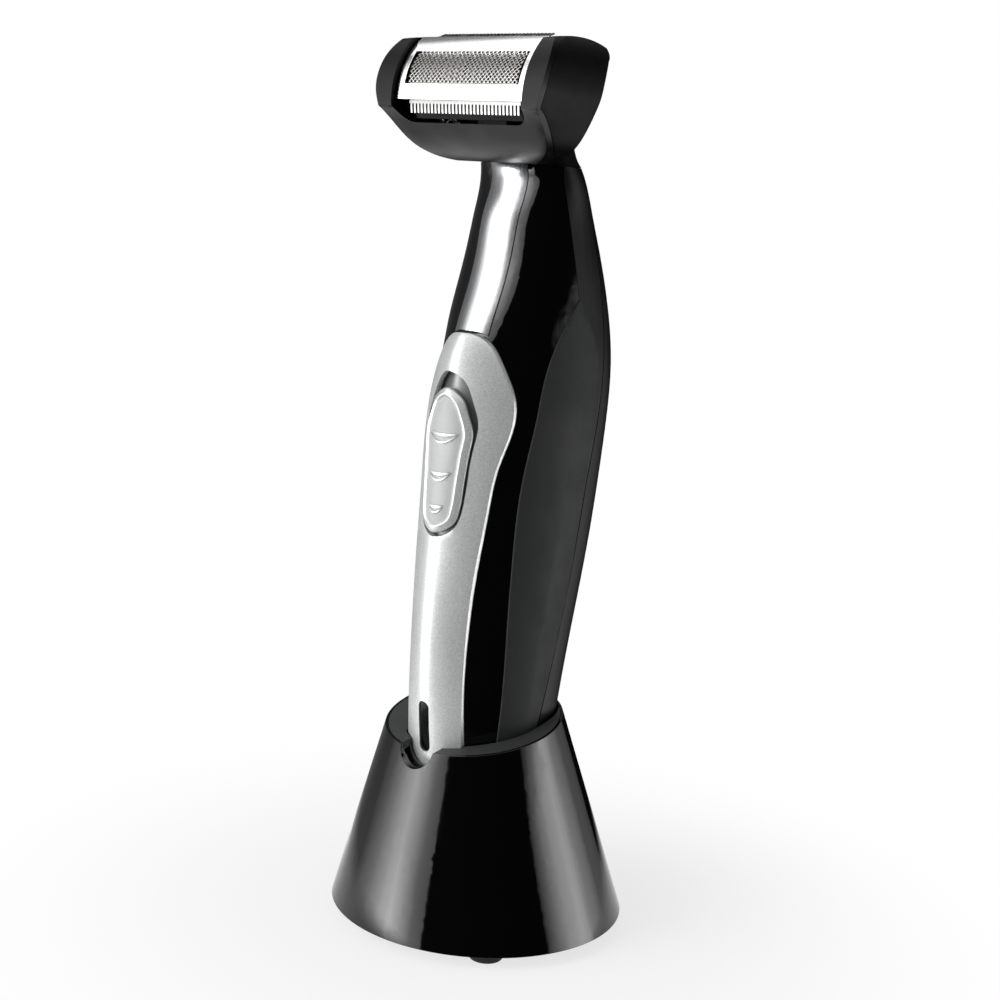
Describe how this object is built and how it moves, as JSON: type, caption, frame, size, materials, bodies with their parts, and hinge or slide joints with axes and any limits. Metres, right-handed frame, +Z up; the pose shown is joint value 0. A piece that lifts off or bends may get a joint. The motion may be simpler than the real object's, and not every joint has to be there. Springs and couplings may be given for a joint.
{
  "type": "body groomer with charging stand",
  "caption": "Cordless foil body groomer with slide switch and rubber grips, standing in a round leaning-cone charging stand.",
  "frame": {"origin": "on the table, under the centre of the stand's round base", "axes": "+Z up along the groomer, -Y towards the front with the switch and the shaving foil, X across; left and right mirror about the plane X = 0"},
  "size_m": [0.0696, 0.0696, 0.2042],
  "materials": {
    "gloss_black": "piano black moulded ABS",
    "satin_black": "fine satin moulded ABS",
    "matte_black": "fine matte moulded ABS",
    "silver_paint": "silver metallic lacquer on ABS",
    "bright_chrome": "satin bright plated ABS",
    "grip_rubber": "soft matte elastomer",
    "dark_lens": "smoked light window",
    "light_body": "clear light emitter body",
    "board_laminate": "glass epoxy laminate",
    "steel": "bright steel",
    "polished_steel": "polished stainless steel",
    "battery_wrap": "shrink sleeve over a steel cell",
    "contact_brass": "plated brass",
    "inner_plastic": "natural acetal"
  },
  "bodies": {
    "stand": {"stand_shell": "gloss_black", "socket_cup": "matte_black", "base_plate": "matte_black", "rubber_feet": "grip_rubber", "base_screws": "steel", "supply_board": "board_laminate", "power_inlet": "inner_plastic", "contact_spring_left": "steel", "contact_spring_right": "steel"},
    "pin_left": {"contact_pin_left": "contact_brass"},
    "pin_right": {"contact_pin_right": "contact_brass"},
    "handle": {"front_shell": "gloss_black", "back_cover": "satin_black", "bottom_cap": "matte_black", "neck_trim": "bright_chrome", "front_panel": "silver_paint", "indicator_lens": "dark_lens", "charge_light": "light_body", "control_board": "board_laminate", "grip_left": "grip_rubber", "grip_right": "grip_rubber", "slide_plate": "silver_paint", "battery_cell": "battery_wrap", "battery_tabs": "contact_brass", "motor": "steel", "motor_mount": "inner_plastic", "lever_pivot": "steel", "neck_plug": "matte_black", "lever_seal": "grip_rubber", "charge_contacts": "contact_brass", "cap_screws": "steel"},
    "switch": {"power_switch": "silver_paint", "contact_slider": "inner_plastic"},
    "rotor": {"motor_shaft": "steel", "crank": "inner_plastic"},
    "lever": {"drive_lever": "inner_plastic"},
    "head": {"head_housing": "matte_black", "head_bezel": "satin_black", "cassette_spring_left": "steel", "cassette_spring_right": "steel"},
    "drive": {"blade_drive": "inner_plastic"},
    "cassette": {"foil_frame": "polished_steel", "foil_screen": "polished_steel", "upper_comb": "steel", "lower_comb": "steel", "cassette_carrier": "inner_plastic"},
    "cutter": {"cutter_block": "inner_plastic", "cutter_blades": "steel", "upper_blade": "steel", "lower_blade": "steel"}
  },
  "joints": [
    {"name": "contact_pin_left_press", "type": "slide", "parent": "stand", "child": "pin_left", "axis": [0, 0, 1], "range_m": [-0.0012, 0], "stiffness_N_per_m": 150, "springref_m": 0.0005, "deforming": ["contact_spring_left"]},
    {"name": "contact_pin_right_press", "type": "slide", "parent": "stand", "child": "pin_right", "axis": [0, 0, 1], "range_m": [-0.0012, 0], "stiffness_N_per_m": 150, "springref_m": 0.0005, "deforming": ["contact_spring_right"]},
    {"name": "handle_lift", "type": "slide", "parent": "stand", "child": "handle", "axis": [0, 0, 1], "range_m": [0, 0.06]},
    {"name": "power_switch_slide", "type": "slide", "parent": "handle", "child": "switch", "axis": [0, 0.053, 0.9986], "range_m": [0, 0.003]},
    {"name": "motor_spin", "type": "hinge", "parent": "handle", "child": "rotor", "pos_m": [0, 0.002, 0.12], "axis": [0, 0, 1], "continuous": true},
    {"name": "lever_swing", "type": "hinge", "parent": "handle", "child": "lever", "pos_m": [0, 0.002, 0.15], "axis": [0, 1, 0], "range_deg": [-2.3, 2.3]},
    {"name": "head_pull", "type": "slide", "parent": "handle", "child": "head", "axis": [0, 0, 1], "range_m": [0, 0.03]},
    {"name": "drive_slide", "type": "slide", "parent": "head", "child": "drive", "axis": [1, 0, 0], "range_m": [-0.0015, 0.0015]},
    {"name": "cassette_float", "type": "slide", "parent": "head", "child": "cassette", "axis": [0, 0.9135, -0.4067], "range_m": [0, 0.0012], "stiffness_N_per_m": 400, "springref_m": -0.0008, "deforming": ["cassette_spring_left", "cassette_spring_right"]},
    {"name": "cutter_slide", "type": "slide", "parent": "cassette", "child": "cutter", "axis": [1, 0, 0], "range_m": [-0.0014, 0.0014]}
  ],
  "couplings": [
    {"joint": "drive_slide", "follows": "cutter_slide", "ratio": 1},
    {"joint": "lever_swing", "follows": "cutter_slide", "rad_per_m": 28.249}
  ]
}
